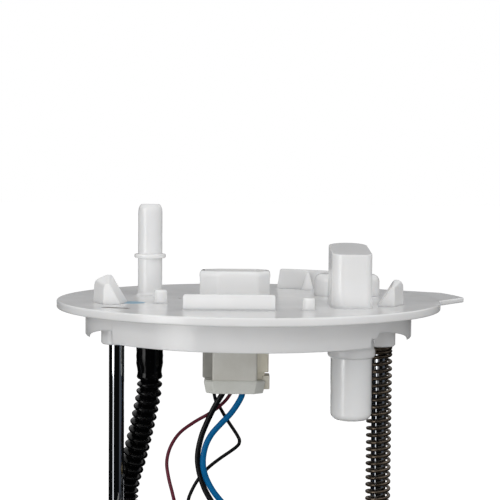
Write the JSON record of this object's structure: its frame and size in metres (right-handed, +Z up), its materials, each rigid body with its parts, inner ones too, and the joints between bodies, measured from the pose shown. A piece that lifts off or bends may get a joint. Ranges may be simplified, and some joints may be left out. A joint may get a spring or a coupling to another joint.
{
  "type": "fuel pump module",
  "caption": "In-tank fuel pump module: round white flange with outlet tube, socket and vent valve, on two guide rods above a sprung reservoir with pump and level sender.",
  "frame": {"origin": "the flange's axis at its underside, which is the face that seals on the tank", "axes": "+Z points up out of the tank along the flange's axis, X runs through the two guide rods with the bare rod at -X and the sprung rod at +X, -Y is the side of the guard wall and the level sender"},
  "size_m": [0.1692, 0.146, 0.2307],
  "materials": {
    "flange": "natural white acetal moulding, satin to glossy",
    "contact_blades": "tin-plated brass",
    "harness_plug": "natural nylon",
    "plug_lock": "natural nylon, slightly yellowed",
    "valve_housing": "natural white acetal",
    "valve_seat": "natural acetal",
    "guide_rod_left": "bright plated steel rod",
    "guide_rod_right": "bright plated steel rod",
    "rod_clips": "phosphated spring steel",
    "main_spring": "oil-tempered spring wire, dark bronze brown",
    "outlet_hose": "black corrugated nylon tube, slight sheen",
    "blue_wire": "blue insulation",
    "black_wire": "black insulation",
    "maroon_wire": "maroon insulation",
    "thin_black_wire": "black insulation",
    "vent_spring": "stainless spring wire",
    "reservoir_cup": "black acetal moulding",
    "reservoir_cover": "black acetal moulding",
    "pump_isolator": "nitrile rubber",
    "pump_can": "zinc-plated rolled steel",
    "pump_cap": "glass-filled black plastic",
    "pump_base": "die-cast aluminium",
    "impeller_plate": "die-cast aluminium",
    "magnets": "ferrite",
    "brushes": "carbon",
    "brush_springs": "spring wire",
    "pump_blades": "tin-plated brass",
    "pump_plug": "natural nylon",
    "check_spring": "spring wire",
    "check_retainer": "stamped sheet",
    "strainer_neck": "black nylon",
    "strainer": "woven nylon mesh sock",
    "outlet_manifold": "black nylon",
    "manifold_seal": "fluorocarbon rubber ring",
    "pressure_regulator": "yellow-zinc plated steel can",
    "regulator_clip": "spring wire",
    "return_tube": "natural nylon tube",
    "jet_pump": "black acetal",
    "base_valve": "fluorocarbon rubber",
    "sender_housing": "natural acetal",
    "resistor_card": "ceramic card",
    "rotor_shaft": "ground steel",
    "armature": "laminated electrical steel",
    "windings": "enamelled copper wire",
    "commutator": "carbon segments",
    "impeller": "brown phenolic",
    "vent_float": "natural nylon",
    "check_valve": "fluorocarbon rubber",
    "wiper_arm": "black acetal",
    "wiper_contacts": "spring alloy",
    "float_rod": "stainless wire",
    "level_float": "closed-cell nitrile foam"
  },
  "bodies": {
    "flange_assembly": {"flange": "flange", "contact_blades": "contact_blades", "harness_plug": "harness_plug", "plug_lock": "plug_lock", "valve_housing": "valve_housing", "valve_seat": "valve_seat", "guide_rod_left": "guide_rod_left", "guide_rod_right": "guide_rod_right", "rod_clips": "rod_clips", "main_spring": "main_spring", "outlet_hose": "outlet_hose", "blue_wire": "blue_wire", "black_wire": "black_wire", "maroon_wire": "maroon_wire", "thin_black_wire": "thin_black_wire", "vent_spring": "vent_spring"},
    "reservoir": {"reservoir_cup": "reservoir_cup", "reservoir_cover": "reservoir_cover", "pump_isolator": "pump_isolator", "pump_can": "pump_can", "pump_cap": "pump_cap", "pump_base": "pump_base", "impeller_plate": "impeller_plate", "magnets": "magnets", "brushes": "brushes", "brush_springs": "brush_springs", "pump_blades": "pump_blades", "pump_plug": "pump_plug", "check_spring": "check_spring", "check_retainer": "check_retainer", "strainer_neck": "strainer_neck", "strainer": "strainer", "outlet_manifold": "outlet_manifold", "manifold_seal": "manifold_seal", "pressure_regulator": "pressure_regulator", "regulator_clip": "regulator_clip", "return_tube": "return_tube", "jet_pump": "jet_pump", "base_valve": "base_valve", "sender_housing": "sender_housing", "resistor_card": "resistor_card"},
    "pump_rotor": {"rotor_shaft": "rotor_shaft", "armature": "armature", "windings": "windings", "commutator": "commutator", "impeller": "impeller"},
    "vent_float": {"vent_float": "vent_float"},
    "check_valve": {"check_valve": "check_valve"},
    "float_arm": {"wiper_arm": "wiper_arm", "wiper_contacts": "wiper_contacts", "float_rod": "float_rod", "level_float": "level_float"}
  },
  "joints": [
    {"name": "reservoir_slide", "type": "slide", "parent": "flange_assembly", "child": "reservoir", "axis": [0, 0, 1], "range_m": [0, 0.03], "stiffness_N_per_m": 700, "springref_m": -0.03, "deforming": ["main_spring", "outlet_hose", "blue_wire", "black_wire", "maroon_wire", "thin_black_wire"]},
    {"name": "float_pivot", "type": "hinge", "parent": "reservoir", "child": "float_arm", "pos_m": [-0.01, -0.0594, -0.138], "axis": [0, -1, 0], "range_deg": [0, 60]},
    {"name": "rotor_spin", "type": "hinge", "parent": "reservoir", "child": "pump_rotor", "pos_m": [0.004, 0.006, -0.14], "axis": [0, 0, 1], "continuous": true},
    {"name": "check_lift", "type": "slide", "parent": "reservoir", "child": "check_valve", "axis": [0, 0, 1], "range_m": [0, 0.0015], "deforming": ["check_spring"]},
    {"name": "vent_lift", "type": "slide", "parent": "flange_assembly", "child": "vent_float", "axis": [0, 0, 1], "range_m": [0, 0.004], "deforming": ["vent_spring"]}
  ]
}
